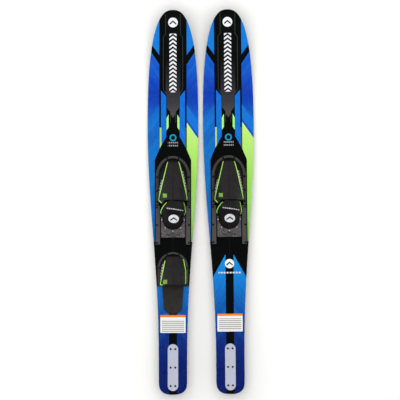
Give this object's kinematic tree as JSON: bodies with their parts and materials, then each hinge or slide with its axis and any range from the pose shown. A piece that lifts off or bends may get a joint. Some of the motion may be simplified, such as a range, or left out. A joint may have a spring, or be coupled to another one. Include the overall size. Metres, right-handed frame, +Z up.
{
  "type": "water ski pair",
  "caption": "Pair of combination water skis with slide-adjustable heel-and-toe bindings, a rear toe loop on one ski, tail fins and lock levers.",
  "frame": {"origin": "on the floor that the skis lie on, under the middle of the pair's bounding box", "axes": "+Y along the skis towards their tips, +X towards the right ski, +Z up"},
  "size_m": [0.4595, 1.6693, 0.1328],
  "materials": {
    "deck_skin": "gloss printed skin",
    "foam_core": "moulded foam core, of about the density of light wood",
    "base_skin": "gloss moulded base",
    "fin": "moulded, satin",
    "fin_plate": "satin anodised",
    "screws": "black oxide",
    "inserts": "knurled",
    "frames": "moulded, fine grain",
    "rails": "moulded, fine grain",
    "uppers": "moulded foam rubber with ribs",
    "trim": "satin lime",
    "beds": "textured foam",
    "carriage": "moulded, satin",
    "cover": "pebbled tread",
    "badge": "plain raised badge",
    "rivets": "bright",
    "lever": "black-coated steel",
    "steel": "bright",
    "lock_bars": "machined"
  },
  "bodies": {
    "left_ski": {"left_deck": "deck_skin", "left_core": "foam_core", "left_base": "base_skin", "left_inserts": "inserts", "left_fin": "fin", "left_fin_plate": "fin_plate", "left_fin_screws": "screws", "left_toe_frame": "frames", "left_toe_upper": "uppers", "left_toe_trim": "trim", "left_toe_bed": "beds", "left_inner_rail": "rails", "left_outer_rail": "rails", "left_binding_screws": "screws", "left_rear_frame": "frames", "left_rear_upper": "uppers", "left_rear_trim": "trim", "left_rear_pad": "beds", "left_rear_screws": "screws"},
    "left_heel_slider": {"left_slider_carriage": "carriage", "left_slider_cover": "cover", "left_slider_rivets": "rivets", "left_heel_upper": "uppers", "left_heel_trim": "trim", "left_heel_bed": "beds", "left_heel_badge": "badge", "left_lever_pin": "steel", "left_lever_spring": "steel"},
    "left_lever": {"left_lock_lever": "lever"},
    "left_inner_bar": {"left_inner_lock_bar": "lock_bars"},
    "left_outer_bar": {"left_outer_lock_bar": "lock_bars"},
    "right_ski": {"right_deck": "deck_skin", "right_core": "foam_core", "right_base": "base_skin", "right_inserts": "inserts", "right_fin": "fin", "right_fin_plate": "fin_plate", "right_fin_screws": "screws", "right_toe_frame": "frames", "right_toe_upper": "uppers", "right_toe_trim": "trim", "right_toe_bed": "beds", "right_inner_rail": "rails", "right_outer_rail": "rails", "right_binding_screws": "screws"},
    "right_heel_slider": {"right_slider_carriage": "carriage", "right_slider_cover": "cover", "right_slider_rivets": "rivets", "right_heel_upper": "uppers", "right_heel_trim": "trim", "right_heel_bed": "beds", "right_heel_badge": "badge", "right_lever_pin": "steel", "right_lever_spring": "steel"},
    "right_lever": {"right_lock_lever": "lever"},
    "right_inner_bar": {"right_inner_lock_bar": "lock_bars"},
    "right_outer_bar": {"right_outer_lock_bar": "lock_bars"}
  },
  "joints": [
    {"name": "ski_spacing", "type": "slide", "parent": "left_ski", "child": "right_ski", "axis": [1, 0, 0], "range_m": [0, 0.3]},
    {"name": "left_heel_slide", "type": "slide", "parent": "left_ski", "child": "left_heel_slider", "axis": [0, 0.9993, -0.0367], "range_m": [-0.0254, 0.01905]},
    {"name": "left_lever_hinge", "type": "hinge", "parent": "left_heel_slider", "child": "left_lever", "pos_m": [-0.11981, -0.13632, 0.04364], "axis": [-1, 0, 0], "range_deg": [0, 35], "stiffness_Nm_per_rad": 0.03, "springref_deg": -20.05, "deforming": ["left_lever_spring"]},
    {"name": "left_inner_bar_slide", "type": "slide", "parent": "left_heel_slider", "child": "left_inner_bar", "axis": [1, 0, 0], "range_m": [-0.003, 0]},
    {"name": "left_outer_bar_slide", "type": "slide", "parent": "left_heel_slider", "child": "left_outer_bar", "axis": [-1, 0, 0], "range_m": [-0.003, 0]},
    {"name": "right_heel_slide", "type": "slide", "parent": "right_ski", "child": "right_heel_slider", "axis": [-0.0087, 0.9993, -0.0367], "range_m": [-0.0254, 0.01905]},
    {"name": "right_lever_hinge", "type": "hinge", "parent": "right_heel_slider", "child": "right_lever", "pos_m": [0.12387, -0.13332, 0.04364], "axis": [-1, -0.0087, 0], "range_deg": [0, 35], "stiffness_Nm_per_rad": 0.03, "springref_deg": -20.05, "deforming": ["right_lever_spring"]},
    {"name": "right_inner_bar_slide", "type": "slide", "parent": "right_heel_slider", "child": "right_inner_bar", "axis": [-1, -0.0087, 0], "range_m": [-0.003, 0]},
    {"name": "right_outer_bar_slide", "type": "slide", "parent": "right_heel_slider", "child": "right_outer_bar", "axis": [1, 0.0087, 0], "range_m": [-0.003, 0]}
  ],
  "couplings": [
    {"joint": "left_inner_bar_slide", "follows": "left_lever_hinge", "m_per_rad": -0.004895},
    {"joint": "left_outer_bar_slide", "follows": "left_lever_hinge", "m_per_rad": -0.004895},
    {"joint": "right_inner_bar_slide", "follows": "right_lever_hinge", "m_per_rad": -0.004895},
    {"joint": "right_outer_bar_slide", "follows": "right_lever_hinge", "m_per_rad": -0.004895}
  ]
}
